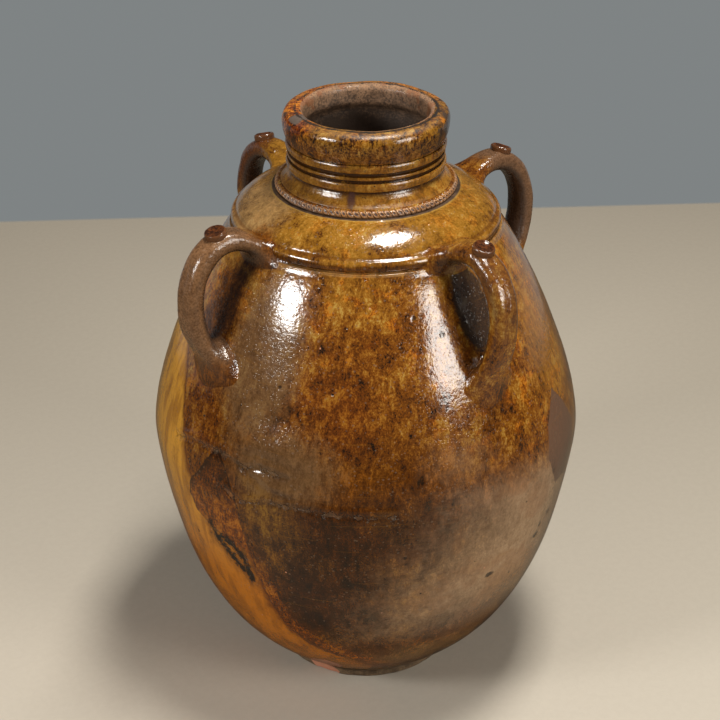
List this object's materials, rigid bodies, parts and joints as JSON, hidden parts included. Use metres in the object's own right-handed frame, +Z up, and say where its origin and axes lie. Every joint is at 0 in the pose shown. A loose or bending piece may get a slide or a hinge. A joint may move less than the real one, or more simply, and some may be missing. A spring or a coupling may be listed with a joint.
{
  "type": "storage jar",
  "caption": "Tall thrown storage jar with a small foot, sharp belly seam, ledge and domed shoulder, rope cordon, ridged neck, rolled rim and looped handles with pressed clay buttons.",
  "frame": {"origin": "centre of the foot ring on the floor", "axes": "+Z up along the jar's axis; one handle points along each of +X (right), +Y (back), -X (left) and -Y (front)"},
  "size_m": [0.4429, 0.443, 0.6175],
  "materials": {
    "bare_clay": "matte",
    "mottled_glaze": "gloss",
    "rim_glaze": "gloss",
    "cordon_glaze": "satin",
    "handle_glaze": "satin",
    "button_glaze": "gloss"
  },
  "bodies": {
    "root": {"foot": "bare_clay", "lower_body": "mottled_glaze", "upper_body": "mottled_glaze", "shoulder": "mottled_glaze", "neck": "rim_glaze", "rim": "rim_glaze", "rope_cordon": "cordon_glaze", "handle_right": "handle_glaze", "handle_back": "handle_glaze", "handle_left": "handle_glaze", "handle_front": "handle_glaze", "button_right": "button_glaze", "button_back": "button_glaze", "button_left": "button_glaze", "button_front": "button_glaze"}
  },
  "joints": []
}
